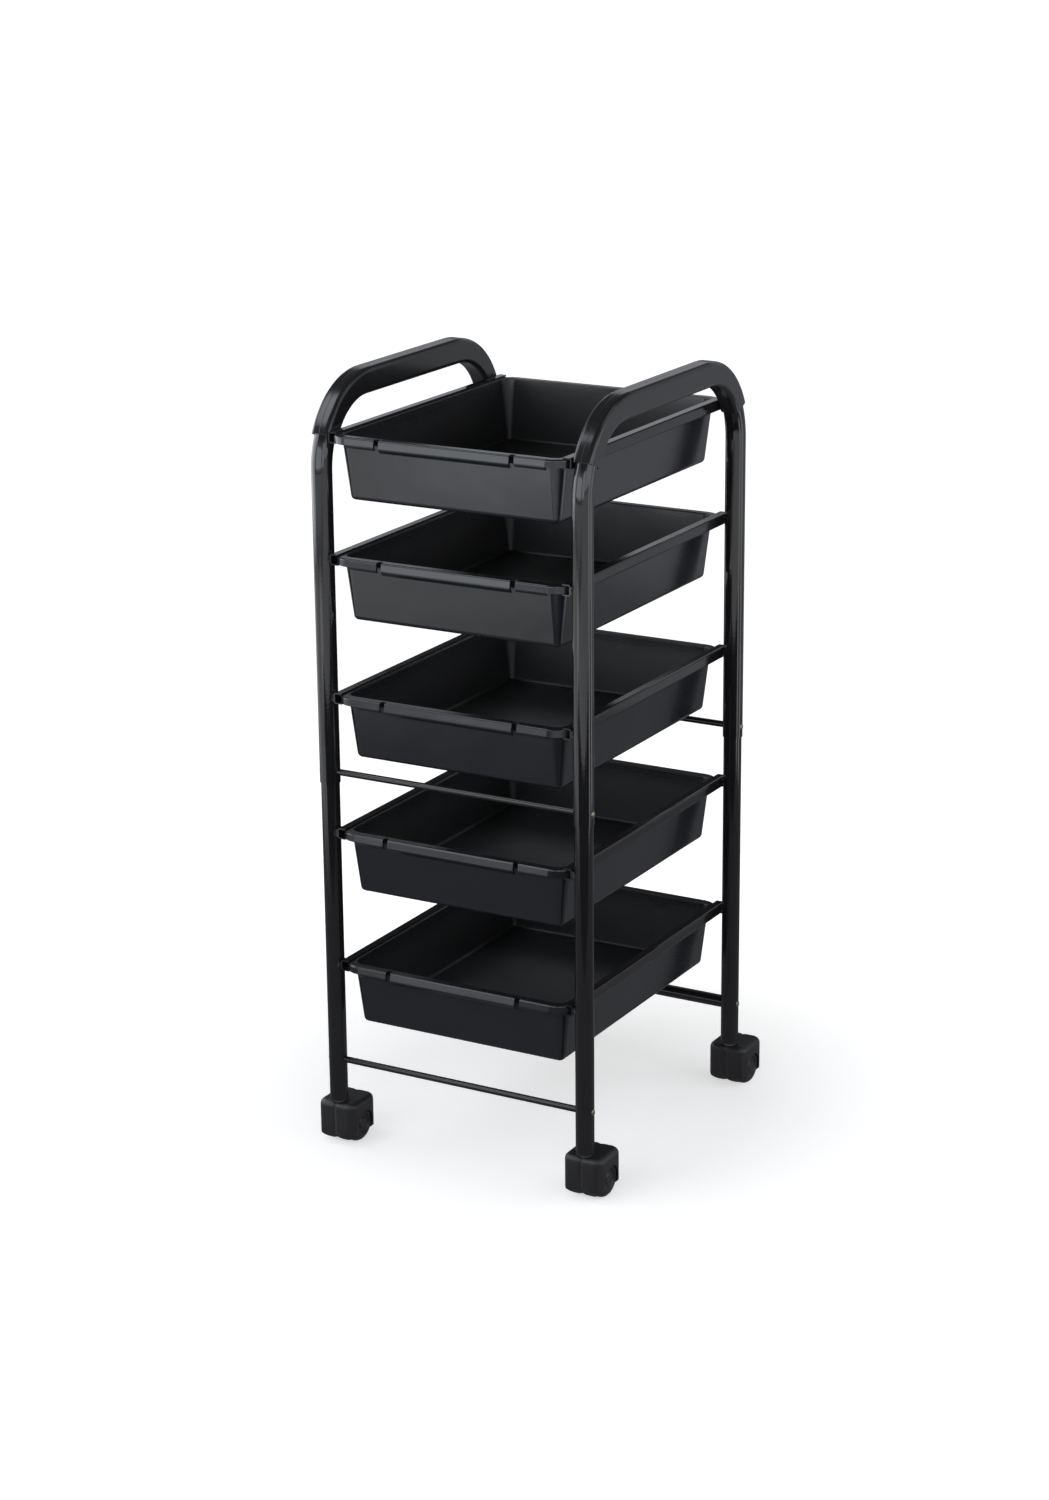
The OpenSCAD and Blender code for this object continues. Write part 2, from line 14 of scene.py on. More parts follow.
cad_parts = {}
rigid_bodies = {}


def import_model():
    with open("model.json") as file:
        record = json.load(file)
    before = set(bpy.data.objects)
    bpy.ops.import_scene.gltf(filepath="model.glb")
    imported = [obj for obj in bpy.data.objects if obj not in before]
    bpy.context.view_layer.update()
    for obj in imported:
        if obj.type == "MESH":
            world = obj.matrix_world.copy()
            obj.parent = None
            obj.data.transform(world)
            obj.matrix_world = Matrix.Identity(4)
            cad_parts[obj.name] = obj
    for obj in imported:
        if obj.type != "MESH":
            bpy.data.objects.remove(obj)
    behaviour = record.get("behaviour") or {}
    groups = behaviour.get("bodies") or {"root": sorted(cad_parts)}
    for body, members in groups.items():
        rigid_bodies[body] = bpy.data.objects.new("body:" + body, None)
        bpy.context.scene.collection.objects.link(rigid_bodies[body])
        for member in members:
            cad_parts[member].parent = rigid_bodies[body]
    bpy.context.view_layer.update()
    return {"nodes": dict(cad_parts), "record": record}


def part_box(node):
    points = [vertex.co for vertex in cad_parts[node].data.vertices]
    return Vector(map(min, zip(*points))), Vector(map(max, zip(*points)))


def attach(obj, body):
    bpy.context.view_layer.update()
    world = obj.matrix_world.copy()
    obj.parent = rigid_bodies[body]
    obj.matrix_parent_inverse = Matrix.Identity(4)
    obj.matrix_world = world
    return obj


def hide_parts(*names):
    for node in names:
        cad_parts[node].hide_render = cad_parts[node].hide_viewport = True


for leftover in list(bpy.data.objects):
    bpy.data.objects.remove(leftover)

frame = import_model()
nodes = frame["nodes"]

# %% [markdown]
# ## Camera
# The view is from the front right and a little above. A camera's axes are its right, its up and the
# direction backwards. Three directions worked out from two angles and a small roll place it exactly. A
# tracking constraint would aim it as well, but it can't hold a roll.

# %% Camera
def aim(azimuth, elevation, roll):
    """The camera's axes as the columns of a matrix: right, up and backwards."""
    a, e = math.radians(azimuth), math.radians(elevation)
    back = Vector((math.sin(a) * math.cos(e), -math.cos(a) * math.cos(e), math.sin(e)))
    right = Matrix.Rotation(math.radians(roll), 3, back) @ Vector((math.cos(a), math.sin(a), 0))
    return Matrix((right, back.cross(right), back)).transposed()


SENSOR_MM, LENS_MM = 36, 78.156
EYE = (1.650755, -2.949123, 1.477975)
AZIMUTH, ELEVATION, ROLL = 29.54876, 17.34266, -0.54410

camera_data = bpy.data.cameras.new("camera")
camera_data.sensor_width = SENSOR_MM
camera_data.lens = LENS_MM
camera = bpy.data.objects.new("camera", camera_data)
bpy.context.scene.collection.objects.link(camera)
camera.matrix_world = Matrix.Translation(EYE) @ aim(AZIMUTH, ELEVATION, ROLL).to_4x4()
bpy.context.scene.camera = camera
bpy.context.scene.view_settings.view_transform = "Standard"
print("camera at", camera.matrix_world.translation)

# %% [markdown]
# ## Shader arithmetic
# A material is a graph of small maths nodes, which is slow to read when each node is made by hand. One class
# wraps a socket, and Python's own operators add the Math nodes, so `0.2 + 0.1 * grain` is a graph. The second
# class holds the tree of nodes: one method makes every other kind of node, from its type, its settings and
# what its sockets hold.

# %% Wires
class Wire:
    """A number that runs through a graph of nodes, and can be used in sums."""

    def __init__(self, tree, socket):
        self.tree = tree
        self.socket = socket

    def math(self, operation, first, second=0.0, clamp=False):
        node = self.tree.nodes.new("ShaderNodeMath")
        node.operation = operation
        node.use_clamp = clamp
        for entry, value in zip(node.inputs, (first, second)):
            if isinstance(value, Wire):
                self.tree.links.new(value.socket, entry)
            else:
                entry.default_value = value
        return Wire(self.tree, node.outputs[0])

    def __add__(self, other):
        return self.math("ADD", self, other)

    def __radd__(self, other):
        return self.math("ADD", other, self)

    def __sub__(self, other):
        return self.math("SUBTRACT", self, other)

    def __rsub__(self, other):
        return self.math("SUBTRACT", other, self)

    def __mul__(self, other):
        return self.math("MULTIPLY", self, other)

    def __rmul__(self, other):
        return self.math("MULTIPLY", other, self)

    def __abs__(self):
        return self.math("ABSOLUTE", self)

    def root(self):
        return self.math("SQRT", self)

    def ramp(self, low, high):
        """0 at the low end, 1 at the high end, straight between them and flat beyond."""
        return self.math("DIVIDE", self - low, high - low, clamp=True)

    def off_grid(self, pitch):
        """How far the number is from the nearest multiple of the pitch."""
        return abs(self.math("PINGPONG", self, pitch / 2))


# %% Graphs
class Graph:
    """A tree of nodes, with short ways to the patterns that the finishes share."""

    def __init__(self, tree):
        self.tree = tree

    def node(self, kind, settings=None, sockets=None, output=0):
        """Adds a node. Its settings are made before its sockets; the chosen output comes back as a wire."""
        node = self.tree.nodes.new(kind)
        for key, value in (settings or {}).items():
            setattr(node, key, value)
        for key, value in (sockets or {}).items():
            if isinstance(value, Wire):
                self.tree.links.new(value.socket, node.inputs[key])
            else:
                node.inputs[key].default_value = value
        return Wire(self.tree, node.outputs[output])

    def place(self):
        """Where a point lies on the object, in metres."""
        return self.node("ShaderNodeTexCoord", output="Object")

    def along(self, axis, vector=None):
        """One coordinate of a vector, or of the point's place."""
        return self.node("ShaderNodeSeparateXYZ", sockets={"Vector": vector or self.place()}, output=axis)

    def from_centre(self):
        """How far a point lies from the object's own origin."""
        return self.node("ShaderNodeVectorMath", {"operation": "LENGTH"}, {0: self.place()}, output="Value")

    def noise(self, size, detail=2.0, stretch=(1, 1, 1)):
        """Cloudy noise from 0 to 1 whose blobs are about this many metres across."""
        spot = self.node("ShaderNodeMapping", sockets={"Vector": self.place(), "Scale": stretch})
        return self.node("ShaderNodeTexNoise", sockets={"Vector": spot, "Scale": 1 / size, "Detail": detail})

    def blend(self, mask, first, second):
        """A colour between two, by a mask from 0 to 1."""
        first, second = (end if isinstance(end, Wire) else (*end, 1) for end in (first, second))
        sockets = {"Factor": mask, 6: first, 7: second}
        return self.node("ShaderNodeMix", {"data_type": "RGBA"}, sockets, output=2)

    def relief(self, height, depth):
        """A surface normal for relief this many metres deep, from a height between 0 and 1."""
        return self.node("ShaderNodeBump", sockets={"Distance": depth, "Height": height})


class Finish(Graph):
    """A material of one shader, which is the Principled one unless another is named."""

    def __init__(self, name, shader="ShaderNodeBsdfPrincipled"):
        self.material = bpy.data.materials.new(name)
        self.material.use_nodes = True
        super().__init__(self.material.node_tree)
        self.tree.nodes.clear()
        self.shader = self.tree.nodes.new(shader)
        output = self.tree.nodes.new("ShaderNodeOutputMaterial")
        self.tree.links.new(self.shader.outputs[0], output.inputs["Surface"])

    def set(self, **sockets):
        """Sets the shader's own sockets; a space in a socket's name is written as an underscore."""
        for key, value in sockets.items():
            entry = self.shader.inputs[key.replace("_", " ")]
            if isinstance(value, Wire):
                self.tree.links.new(value.socket, entry)
            else:
                entry.default_value = value
        return self


# %% [markdown]
# ## Studio
# Black gloss has almost no colour of its own: what shows is its surroundings. Lamps would leave small
# bright spots on it, so the light comes from broad glowing panels, on a pale floor with a white horizon and
# a dim ceiling. Panels round the front draw the long streaks down the tubes. Kickers are panels that only
# reflections see, so they shape the gloss and leave the plain light as it is. A flag is a kicker that hides
# something brighter behind it. A dark card lies on the floor where only reflections see it, as a
# photographer puts black felt under a glossy product.

# %% World
world = bpy.data.worlds.new("studio")
bpy.context.scene.world = world
world.use_nodes = True
sky = Graph(world.node_tree)
rise = sky.along("Z", sky.node("ShaderNodeTexCoord", output="Generated"))
WHITE_BELOW, DIM_ABOVE, DIM = math.sin(math.radians(19)), math.sin(math.radians(27)), 0.1
backdrop = world.node_tree.nodes["Background"]
backdrop.inputs["Color"].default_value = (1, 1, 1, 1)
strength = DIM + (1 - DIM) * rise.ramp(DIM_ABOVE, WHITE_BELOW)
world.node_tree.links.new(strength.socket, backdrop.inputs["Strength"])
print("white up to 19 degrees, dim from 27")

# %% Tools for the set
def deselect():
    """Leaves edit mode with nothing selected."""
    if bpy.context.object and bpy.context.object.mode != "OBJECT":
        bpy.ops.object.mode_set(mode="OBJECT")
    bpy.ops.object.select_all(action="DESELECT")


def settle(piece):
    """Moves an object's place into its mesh, so that it sits at the origin, unturned and unscaled."""
    deselect()
    piece.select_set(True)
    bpy.context.view_layer.objects.active = piece
    bpy.ops.object.transform_apply(location=True, rotation=True, scale=True)
    return piece


# The panels are a touch cooler than the floor
COOL = (0.95, 0.99, 1.05)


def glowing(panel, name, glow, edges=None):
    """Makes a panel a light that only the object sees, with edges that fade if their heights are given."""
    settle(panel)
    panel.name = name
    light = Finish(name, "ShaderNodeEmission")
    light.set(Strength=glow, Color=(*COOL, 1))
    if edges:
        bottom, top, fade = edges
        height = light.along("Z")
        strength = height.ramp(bottom, bottom + fade) * height.ramp(top, top - fade)
        light.set(Color=light.blend(strength, (0, 0, 0), COOL))
    panel.data.materials.append(light.material)
    panel.visible_camera = panel.visible_shadow = False


def standing(name, bearings, heights, glow, distance=1.35, fade=0.08, kicker=False):
    """A panel that stands round the trolley between two bearings, which turn from the front to the right.

    A kicker shows in reflections only, and adds nothing to the light on the floor."""
    deselect()
    bpy.ops.mesh.primitive_plane_add(size=1)
    panel = bpy.context.object
    turn = math.radians(sum(bearings) / 2)
    half = math.radians(bearings[1] - bearings[0]) / 2
    panel.scale = (2 * distance * math.tan(half), heights[1] - heights[0], 1)
    panel.rotation_euler = (math.radians(90), 0, turn)
    panel.location = (math.sin(turn) * distance, -math.cos(turn) * distance, sum(heights) / 2)
    panel.visible_diffuse = not kicker
    glowing(panel, name, glow, (*heights, fade) if fade else None)


def overhead(name, width, depth, bearing, distance, height, glow):
    """A level panel above the trolley, to one side."""
    deselect()
    bpy.ops.mesh.primitive_plane_add(size=1)
    panel = bpy.context.object
    turn = math.radians(bearing)
    panel.scale = (width, depth, 1)
    panel.rotation_euler = (0, 0, turn)
    panel.location = (math.sin(turn) * distance, -math.cos(turn) * distance, height)
    glowing(panel, name, glow)


# %% Panels
# The camera stands at a bearing of 29.5 degrees. A band of panels runs round the front above the third
# tray, and weaker ones hang lower. A black flag darkens what the casters mirror, and the rear flags dim the
# horizon behind the trolley
standing("left panel", (-108, -48), (0.34, 1.42), 3.4, kicker=True)
standing("low panel", (-31, -8), (0.14, 0.42), 2.3, 1.30)
standing("front fill panel", (-48, 22), (0.34, 0.58), 1.15)
standing("front panel", (-34, 15), (0.57, 1.22), 3.1)
standing("camera panel", (22, 42), (0.58, 1.30), 2.7)
standing("right top panel", (46, 80), (0.72, 1.42), 2.4, kicker=True)
standing("right panel", (80, 92), (0.00, 1.45), 2.3, fade=0.0)
standing("right fill panel", (105, 123), (0.00, 1.00), 1.9, fade=0.0)
standing("black flag", (-18, 76), (0.00, 0.27), 0.0, 0.90, fade=0.0, kicker=True)
standing("right rear flag", (130, 172), (0.00, 1.60), 0.44, 1.70, fade=0.0, kicker=True)
for bearing in (172, 210):
    standing("low rear flag", (bearing, bearing + 38), (0.00, 1.05), 0.03, 1.70, fade=0.0, kicker=True)
    standing("high rear flag", (bearing, bearing + 38), (1.05, 1.60), 0.6, 1.70, fade=0.0, kicker=True)
overhead("left top panel", 0.55, 0.80, -54, 0.90, 1.62, 3.2)
overhead("right roof panel", 0.60, 0.60, 105, 0.95, 1.62, 1.0)

# %% Floor
# Light on the floor comes from its matt colour. The camera and reflections also see a glow, weaker near the
# middle, so that the shadow of the casters shows there and the rest is white
FLOOR_R, FLOOR_GREY = 12, 0.75
SHADE_FROM, SHADE_TO, SHADE_GLOW, WHITE_GLOW = 0.22, 0.62, 0.54, 0.90


def disc(name, radius, place=(0, 0, 0)):
    """A level round sheet."""
    deselect()
    bpy.ops.mesh.primitive_circle_add(vertices=96, radius=radius, fill_type="NGON", location=place)
    sheet = bpy.context.object
    sheet.name = name
    return sheet


floor = disc("floor", FLOOR_R)
paving = Finish("floor", "ShaderNodeMixShader")
seen = paving.node("ShaderNodeLightPath", output="Is Camera Ray")
seen = seen + paving.node("ShaderNodeLightPath", output="Is Glossy Ray")
seen = seen + paving.node("ShaderNodeLightPath", output="Is Transmission Ray")
plain = paving.node("ShaderNodeBsdfDiffuse", sockets={"Color": (FLOOR_GREY,) * 3 + (1,)})
away = paving.from_centre().ramp(SHADE_FROM, SHADE_TO)
white = paving.blend(away, (SHADE_GLOW,) * 3, (WHITE_GLOW,) * 3)
glow = paving.node("ShaderNodeEmission", sockets={"Color": white})
lit = paving.node("ShaderNodeAddShader", sockets={0: plain, 1: glow})
for entry, wire in enumerate((seen, plain, lit)):
    paving.tree.links.new(wire.socket, paving.shader.inputs[entry])
floor.data.materials.append(paving.material)
print("floor of radius", FLOOR_R, "m")

# %% Felt
# The card is dark in the middle and fades out at its edge. It lies a hair above the floor, behind the
# trolley and to the right, where the tubes and trays mirror it
FELT_R, FELT_EDGE, FELT_PLACE = 2.25, 0.30, (0.45, 0.78, 0.0005)
felt = disc("felt", FELT_R, FELT_PLACE)
cloth = Finish("felt", "ShaderNodeEmission")
edge = cloth.from_centre().ramp(FELT_R - FELT_EDGE, FELT_R)
cloth.set(Color=cloth.blend(edge, (0.19, 0.19, 0.20), (1.0, 1.0, 1.0)))
felt.data.materials.append(cloth.material)
felt.visible_camera = felt.visible_diffuse = felt.visible_shadow = felt.visible_transmission = False
print("felt of radius", FELT_R, "m")

# %% [markdown]
# ## Finishes
# Every surface is near black, so the finishes differ in how they reflect. The powder coat on the tubes is a
# hard gloss with a faint orange peel. The handles are moulded with a parting line along their middle. The
# trays are semi-gloss and not quite flat outside, finely matt inside, with the marks of the moulding tool
# on their undersides, and their insides are painted darker as painted shade. The casters are matt nylon, a
# little dusty on the wheels. Painted images could show all this too, but noise in the object's own
# coordinates has no seams, and its sizes are given in metres.

# %% Powder coat
def frame_paint(name="frame_paint", welded=False):
    paint = Finish(name)
    cloud = paint.noise(0.03)
    if welded:
        ripple = paint.along("Z").off_grid(0.0012).ramp(0, 0.0006)
        surface = paint.relief(ripple, 0.0003)
    else:
        surface = paint.relief(paint.noise(0.0028, 1.0), 0.00003)
    return paint.set(
        Base_Color=paint.blend(cloud, (0.008, 0.008, 0.009), (0.011, 0.011, 0.012)),
        Roughness=0.06 + 0.06 * cloud,
        IOR=1.5,
        Normal=surface,
    ).material


# %% Handle plastic
def handle_plastic():
    plastic = Finish("handle_plastic")
    cloud = plastic.noise(0.04)
    low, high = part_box("handle_right")
    middle = (low[0] + high[0]) / 2
    parting = abs(abs(plastic.along("X")) - middle).ramp(0.0004, 0.0001)
    grain = plastic.noise(0.0008)
    return plastic.set(
        Base_Color=plastic.blend(cloud, (0.010, 0.010, 0.011), (0.014, 0.014, 0.016)),
        Roughness=0.14 + 0.08 * cloud + 0.1 * parting,
        IOR=1.5,
        Normal=plastic.relief(0.1 * grain + 0.9 * parting, 0.0001),
    ).material


# %% Tray plastic
RIM, MATT_AND_SHADE_EDGE = 0.0105, 0.003
PIN_PITCH, PIN_R = (0.09, 0.11), 0.004


def tray_plastic():
    plastic = Finish("tray_plastic")
    cloud = plastic.noise(0.05)
    swell = plastic.noise(0.035, 1.0)
    grain = plastic.noise(0.0009)
    # Ejector pins leave rings on the underside, in rows
    facing = plastic.along("Z", plastic.node("ShaderNodeNewGeometry", output="Normal"))
    across = plastic.along("X").off_grid(PIN_PITCH[0])
    deep = plastic.along("Y").off_grid(PIN_PITCH[1])
    from_pin = (across * across + deep * deep).root()
    ring = abs(from_pin - PIN_R).ramp(0.0005, 0.0001) * facing.ramp(-0.9, -0.99)
    # The inside is spark-eroded to a fine matt, which hides what slides about in it. Its colour is made darker
    # there too: that is painted shade, for the dim floors of the trays between their walls
    low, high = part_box("tray_1")
    half_x, half_y, centre_y = high[0] - RIM, (high[1] - low[1]) / 2 - RIM, (high[1] + low[1]) / 2
    inside = facing.ramp(0.05, 0.12)
    inside = inside * abs(plastic.along("X")).ramp(half_x, half_x - MATT_AND_SHADE_EDGE)
    inside = inside * abs(plastic.along("Y") - centre_y).ramp(half_y, half_y - MATT_AND_SHADE_EDGE)
    matt = plastic.noise(0.0005, 2.0)
    outside = plastic.blend(cloud, (0.0085, 0.0100, 0.0120), (0.0115, 0.0135, 0.0165))
    # The darker base colour inside is painted shade; the higher roughness there is the real matt
    return plastic.set(
        Base_Color=plastic.blend(inside, outside, (0.0066, 0.0070, 0.0080)),
        Roughness=0.12 + 0.08 * cloud + 0.04 * grain + inside * (0.22 + 0.06 * matt),
        IOR=1.5,
        Normal=plastic.relief(0.72 * swell + 0.02 * grain + 0.26 * ring + 0.03 * inside * matt, 0.0004),
    ).material


# %% Caster and wheel nylon
def nylon(name, base, scuffed):
    plastic = Finish(name)
    cloud = plastic.noise(0.015)
    grain = plastic.noise(0.0006, 3.0)
    dust = plastic.noise(0.006, 4.0).ramp(0.55, 0.75)
    worn = tuple(c + 0.02 for c in base) if scuffed else base
    return plastic.set(
        Base_Color=plastic.blend(dust, base, worn),
        Roughness=0.40 + 0.12 * cloud + 0.1 * dust,
        IOR=1.5,
        Normal=plastic.relief(grain, 0.00004),
    ).material


# %% Bare metal
def bare_metal(name, base, rough):
    metal = Finish(name)
    turned = metal.noise(0.0012, stretch=(1, 1, 8))
    tarnish = metal.noise(0.002, 3.0)
    return metal.set(
        Base_Color=metal.blend(tarnish, base, tuple(0.6 * c for c in base)),
        Metallic=1.0,
        Roughness=rough + 0.15 * turned,
        Normal=metal.relief(turned, 0.00001),
    ).material


# %% Finishes on the nodes
finishes = {
    "frame_paint": frame_paint(),
    "handle_plastic": handle_plastic(),
    "tray_plastic": tray_plastic(),
    "caster_plastic": nylon("caster_plastic", (0.012, 0.012, 0.013), False),
    "wheel_plastic": nylon("wheel_plastic", (0.012, 0.012, 0.013), True),
    "pin_steel": bare_metal("pin_steel", (0.50, 0.50, 0.52), 0.25),
    "screw_plating": bare_metal("screw_plating", (0.30, 0.27, 0.21), 0.28),
}
for part in frame["record"]["subparts"]:
    for entry in nodes[part["node"]].material_slots:
        entry.material = finishes[part["material_slot"]]
print(len(finishes), "finishes on", len(nodes), "nodes")

# %% [markdown]
# ## Crossbar screws
# Each crossbar is held by one screw through the leg at either end. Its domed head could be turned from a
# profile, but half a sphere pressed flat has the same dome in two steps. Two wedges cut the cross, and a
# cylinder below is the shank. The screw is modelled once, pointing up and with its seat at the origin, and
# copies are turned outwards and set on the legs.

# %% One screw
HEAD_R, HEAD_H, SHANK_R, SHANK_LEN = 0.0036, 0.0015, 0.0019, 0.029
CROSS, CROSS_TAPER = (0.0040, 0.0008, 0.0022), 0.35


def edit(piece):
    """Enters edit mode on one piece with everything in it selected."""
    deselect()
    piece.select_set(True)
    bpy.context.view_layer.objects.active = piece
    bpy.ops.object.mode_set(mode="EDIT")
    bpy.ops.mesh.select_all(action="SELECT")


def pick(piece, kind, test):
    """In edit mode, selects just the points, edges or faces whose corners all together pass a test."""
    bpy.ops.mesh.select_mode(type=kind)
    bpy.ops.mesh.select_all(action="DESELECT")
    bpy.ops.object.mode_set(mode="OBJECT")
    mesh = piece.data
    for part in {"VERT": mesh.vertices, "EDGE": mesh.edges, "FACE": mesh.polygons}[kind]:
        corners = [part.index] if kind == "VERT" else part.vertices
        part.select = test(*(mesh.vertices[i].co for i in corners))
    bpy.ops.object.mode_set(mode="EDIT")


def apply_modifiers(piece):
    """Applies all of a piece's modifiers in their order."""
    deselect()
    piece.select_set(True)
    bpy.context.view_layer.objects.active = piece
    for modifier in list(piece.modifiers):
        bpy.ops.object.modifier_apply(modifier=modifier.name)
    return piece


def soften(piece, width):
    """Rounds every edge that is sharper than 40 degrees, after the modifiers that wait on the piece."""
    rounding = piece.modifiers.new("soften", "BEVEL")
    rounding.width, rounding.segments, rounding.angle_limit = width, 2, math.radians(40)
    return apply_modifiers(piece)


def dress(piece, finish):
    """Smooths a piece's shading up to its sharp edges and gives it one finish."""
    deselect()
    piece.select_set(True)
    bpy.context.view_layer.objects.active = piece
    bpy.ops.object.shade_smooth_by_angle(angle=math.radians(35))
    piece.data.materials.clear()
    piece.data.materials.append(finishes[finish])


def wedge(turn):
    """One blade of the cross: a bar that narrows towards the bottom of the recess."""
    deselect()
    bpy.ops.mesh.primitive_cube_add(size=1, location=(0, 0, HEAD_H))
    blade = bpy.context.object
    blade.scale = CROSS
    blade.rotation_euler = (0, 0, turn)
    settle(blade)
    edit(blade)
    pick(blade, "FACE", lambda *corners: all(corner.z < HEAD_H for corner in corners))
    bpy.ops.transform.resize(value=(CROSS_TAPER, CROSS_TAPER, 1), center_override=(0, 0, 0))
    bpy.ops.object.mode_set(mode="OBJECT")
    return blade


deselect()
bpy.ops.mesh.primitive_uv_sphere_add(segments=48, ring_count=24, radius=HEAD_R)
screw = bpy.context.object
edit(screw)
bpy.ops.mesh.bisect(plane_co=(0, 0, 0), plane_no=(0, 0, 1), clear_inner=True, use_fill=True)
bpy.ops.object.mode_set(mode="OBJECT")
screw.scale = (1, 1, HEAD_H / HEAD_R)
settle(screw)
blades = [wedge(0), wedge(math.pi / 2)]
for blade in blades:
    cut = screw.modifiers.new("cross", "BOOLEAN")
    cut.operation = "DIFFERENCE"
    cut.object = blade
soften(screw, 0.00012)
for blade in blades:
    bpy.data.objects.remove(blade)
deselect()
bpy.ops.mesh.primitive_cylinder_add(
    vertices=32, radius=SHANK_R, depth=SHANK_LEN, location=(0, 0, -SHANK_LEN / 2 + HEAD_H / 4)
)
shank = bpy.context.object
screw.select_set(True)
bpy.context.view_layer.objects.active = screw
bpy.ops.object.join()
dress(screw, "screw_plating")
print("screw", len(screw.data.polygons), "faces")

# %% Screws on the legs
def copy_of(piece, name, place, turn=0.0, axis="Z"):
    """A copy with its own mesh, turned about an axis and moved, and settled there."""
    twin = piece.copy()
    twin.data = piece.data.copy()
    twin.name = name
    bpy.context.scene.collection.objects.link(twin)
    twin.matrix_world = Matrix.Translation(place) @ Matrix.Rotation(turn, 4, axis)
    return settle(twin)


def middle(name):
    """The middle of a node's box."""
    low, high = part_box(name)
    return [(a + b) / 2 for a, b in zip(low, high)]


SEAT = 0.0004
for end in ("front", "rear"):
    for level, leg in (("mid", "upper"), ("low", "lower")):
        bar = middle(f"crossbar_{level}_{end}")
        for side, outwards in (("left", -1), ("right", 1)):
            low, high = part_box(f"leg_{leg}_{end}_{side}")
            face = (high if outwards > 0 else low)[0]
            place = (face - outwards * SEAT, bar[1], bar[2])
            one = copy_of(screw, f"screw_{level}_{end}_{side}", place, outwards * math.pi / 2, "Y")
            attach(one, "frame")
            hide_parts("crossbar_screws")
bpy.data.objects.remove(screw)
print("eight screws")

# %% [markdown]
# ## Welds
# The four lower pairs of rails are welded to the legs. A weld is a bead in the corner between the rail's
# saddle and the round of the tube, on both sides of each saddle. A sweep along the corner would follow it
# more closely, but at this size one stretched sphere, copied, reads the same. The beads carry the frame's
# powder coat, and their ripples are relief in the finish.

# %% Weld beads
BEAD_R, SADDLE_HALF, SADDLE_H = 0.0013, 0.006, 0.0078
TUBE_R = {"upper": 0.011, "lower": 0.010}
welded_paint = frame_paint("welded_paint", welded=True)
deselect()
bpy.ops.mesh.primitive_uv_sphere_add(segments=16, ring_count=24, radius=1)
bead = bpy.context.object
bead.scale = (BEAD_R, BEAD_R, SADDLE_H / 2)
settle(bead)
bpy.ops.object.shade_smooth()
bead.data.materials.append(welded_paint)
for tier in range(2, 6):
    for side, outwards in (("left", -1), ("right", 1)):
        rail_z = middle(f"rail_{tier}_{side}")[2]
        part = "upper" if tier < 4 else "lower"
        for end in ("front", "rear"):
            low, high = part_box(f"leg_{part}_{end}_{side}")
            radius = TUBE_R[part]
            centre_x = (high if outwards > 0 else low)[0] - outwards * radius
            centre_y = middle(f"caster_socket_{end}_{side}")[1]
            inset = math.sqrt(radius**2 - SADDLE_HALF**2)
            for way, sign in (("fore", -1), ("aft", 1)):
                place = (centre_x - outwards * inset, centre_y + sign * SADDLE_HALF, rail_z)
                one = copy_of(bead, f"weld_{tier}_{side}_{end}_{way}", place)
                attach(one, "frame")
bpy.data.objects.remove(bead)
print("weld beads on four pairs of rails")

# %% [markdown]
# ## Caster hoods
# A hood wraps both wheels of its caster like two mudguards with a valley between them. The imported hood
# holds the place and the size. A grid pulled into shape by hand would have softer transitions, but booleans
# keep the clearance to the wheels and the axle exact. Each mudguard starts from a cube whose corners are
# rounded in plan and is cut to the round of the wheel. The two are joined, hollowed and opened at the hubs,
# and get a web for the axle and a platform for the stem.

# %% Shapes that a hood is cut with
# A hair is the play in a test of place, a reach is longer than anything that a tool has to cut
HAIR, REACH, MERGE = 1e-6, 0.1, 0.00002


def bevel(piece, radius, steps, test):
    """Rounds the edges that pass a test."""
    edit(piece)
    pick(piece, "EDGE", test)
    bpy.ops.mesh.bevel(offset=radius, offset_type="OFFSET", segments=steps)
    bpy.ops.object.mode_set(mode="OBJECT")


def cube_of(half, bottom, top, corner=0.0, edge=0.0):
    """A block over the wheels' middle, with rounded upright corners and a rounded top edge."""
    deselect()
    bpy.ops.mesh.primitive_cube_add(size=1)
    block = bpy.context.object
    block.scale = (2 * half[0], 2 * half[1], top - bottom)
    block.location = (0, 0, (top + bottom) / 2)
    settle(block)
    if corner:
        bevel(block, corner, 8, lambda a, b: abs(a.z - b.z) > HAIR)
    if edge:
        bevel(block, edge, 6, lambda a, b: min(a.z, b.z) > top - HAIR)
    return block


def drum(radius, half, raised=0.0):
    """A cylinder on the axle. Raised, its upper half is moved up, which leaves straight sides between."""
    deselect()
    bpy.ops.mesh.primitive_cylinder_add(
        vertices=96, radius=radius, depth=2 * half, rotation=(0, math.pi / 2, 0)
    )
    tool = settle(bpy.context.object)
    if raised:
        edit(tool)
        pick(tool, "VERT", lambda point: point.z > HAIR)
        bpy.ops.transform.translate(value=(0, 0, raised))
        bpy.ops.object.mode_set(mode="OBJECT")
    tool.location.z = AXLE_Z
    return settle(tool)


def combine(piece, tool, operation):
    """Applies one boolean, deletes its tool and merges the points that it left on top of each other."""
    cut = piece.modifiers.new("cut", "BOOLEAN")
    cut.operation, cut.object, cut.solver = operation, tool, "EXACT"
    apply_modifiers(piece)
    bpy.data.objects.remove(tool)
    edit(piece)
    bpy.ops.mesh.remove_doubles(threshold=MERGE)
    bpy.ops.object.mode_set(mode="OBJECT")
    return piece


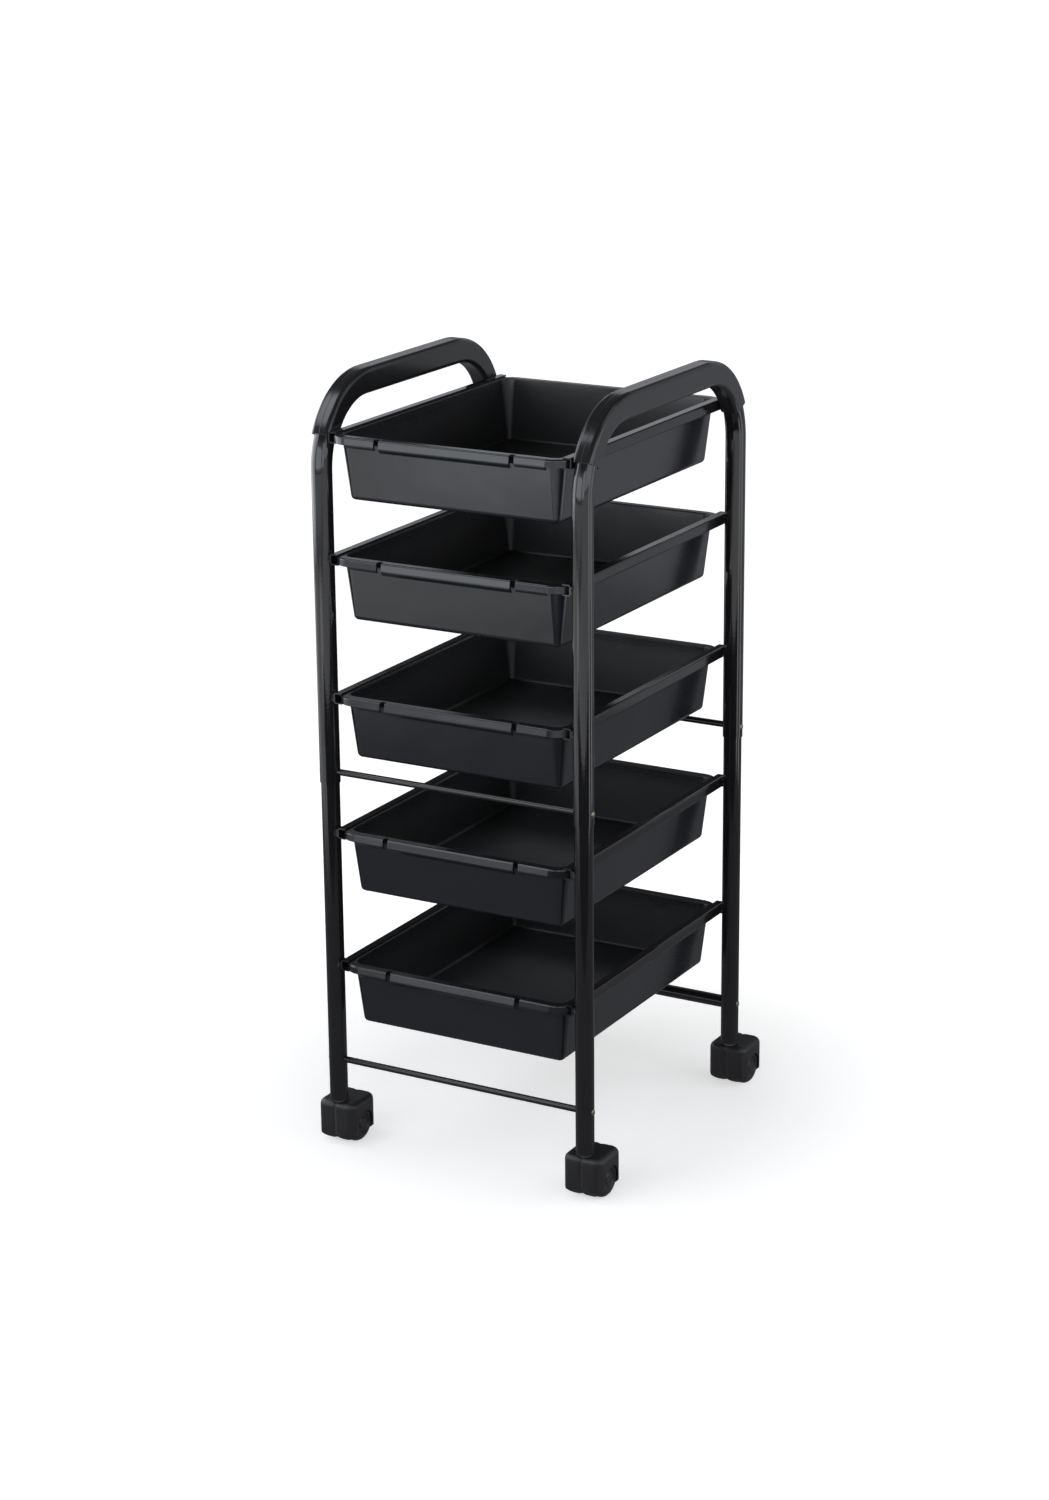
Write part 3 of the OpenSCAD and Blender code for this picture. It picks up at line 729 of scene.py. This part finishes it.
def lobe(half, bottom, top, corner, edge, round_below=0.0):
    """A mudguard over one wheel, to the right of the middle, which follows the round of the wheel."""
    block = cube_of(half, bottom, top, corner, edge)
    combine(block, drum(half[1], REACH, raised=REACH), "INTERSECT")
    if round_below:
        # Made upside down, so that its rounded edges end up at the bottom
        apron = cube_of((half[0], REACH), -top, -bottom)
        bevel(apron, round_below, 10, lambda a, b: min(a.z, b.z) > -bottom - HAIR and a.x == b.x)
        apron.rotation_euler = (math.pi, 0, 0)
        combine(block, settle(apron), "INTERSECT")
    return block


def both(half, *sizes, **rounding):
    """Two lobes side by side that overlap a little in the middle."""
    pair = []
    for side in (-1, 1):
        one = lobe((half[0] / 2 + OVERLAP, half[1]), *sizes, **rounding)
        one.location.x = side * (half[0] / 2 - OVERLAP)
        pair.append(settle(one))
    return combine(pair[0], pair[1], "UNION")


# %% One hood
# The shell's wall, the rounds of its corners, top edge and bottom corners, the overlap of the two lobes,
# the height of the guards' lower edge, and how far below the floor the hollow starts
WALL, CORNER_R, TOP_EDGE_R, APRON_R, OVERLAP = 0.0014, 0.0105, 0.0065, 0.0125, 0.0027
GUARD_Z, BELOW = 0.0065, 0.01
# The hub windows and the web that carries the axle. Then the web's radius as a share of the hood's half
# length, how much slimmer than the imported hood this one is, and the rounding of the edges that the cuts
# leave
WINDOW_R, WEB_T = 0.015, 0.008
WEB_R_SHARE, SLIMMER, SHARP = 0.51, 0.0011, 0.0006
# The flat platform on top that the stem's collar turns against
PLATE_HALF, PLATE_H, PLATE_LOW = (0.011, 0.0155), 0.006, 0.0008
PLATE_CORNER, PLATE_EDGE = 0.006, 0.0012
hood_low, hood_high = (Vector(corner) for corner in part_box("caster_hood_front_left"))
wheel_low, wheel_high = (Vector(corner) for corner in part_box("wheel_left_front_left"))
AXLE_Z = (wheel_low.z + wheel_high.z) / 2
HALF = ((hood_high.x - hood_low.x) / 2 - SLIMMER, (hood_high.y - hood_low.y) / 2)
top_z = hood_high.z

hood = both(HALF, GUARD_Z, top_z, CORNER_R, TOP_EDGE_R, round_below=APRON_R)
inside = (HALF[0] - WALL, HALF[1] - WALL)
hollow = both(inside, -BELOW, top_z - WALL, CORNER_R - WALL, TOP_EDGE_R - WALL)
combine(hood, hollow, "DIFFERENCE")
combine(hood, drum(WINDOW_R, REACH), "DIFFERENCE")
web_r = HALF[1] * WEB_R_SHARE
web = drum(web_r, WEB_T / 2)
combine(web, cube_of((WEB_T / 2, web_r), AXLE_Z, top_z - WALL / 2), "UNION")
combine(hood, web, "UNION")
platform = cube_of(PLATE_HALF, top_z - PLATE_H, top_z - PLATE_LOW, corner=PLATE_CORNER, edge=PLATE_EDGE)
combine(hood, platform, "UNION")
soften(hood, SHARP)
dress(hood, "caster_plastic")
print("hood", len(hood.data.polygons), "faces", [round(1000 * v, 2) for v in hood.dimensions])

# %% Hoods on the casters
for end in ("front", "rear"):
    for side in ("left", "right"):
        node = f"caster_hood_{end}_{side}"
        low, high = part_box(node)
        place = ((low[0] + high[0]) / 2, (low[1] + high[1]) / 2, 0)
        one = copy_of(hood, f"hood_{end}_{side}", place)
        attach(one, f"caster_{end}_{side}")
        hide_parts(node)
bpy.data.objects.remove(hood)
print("four hoods")
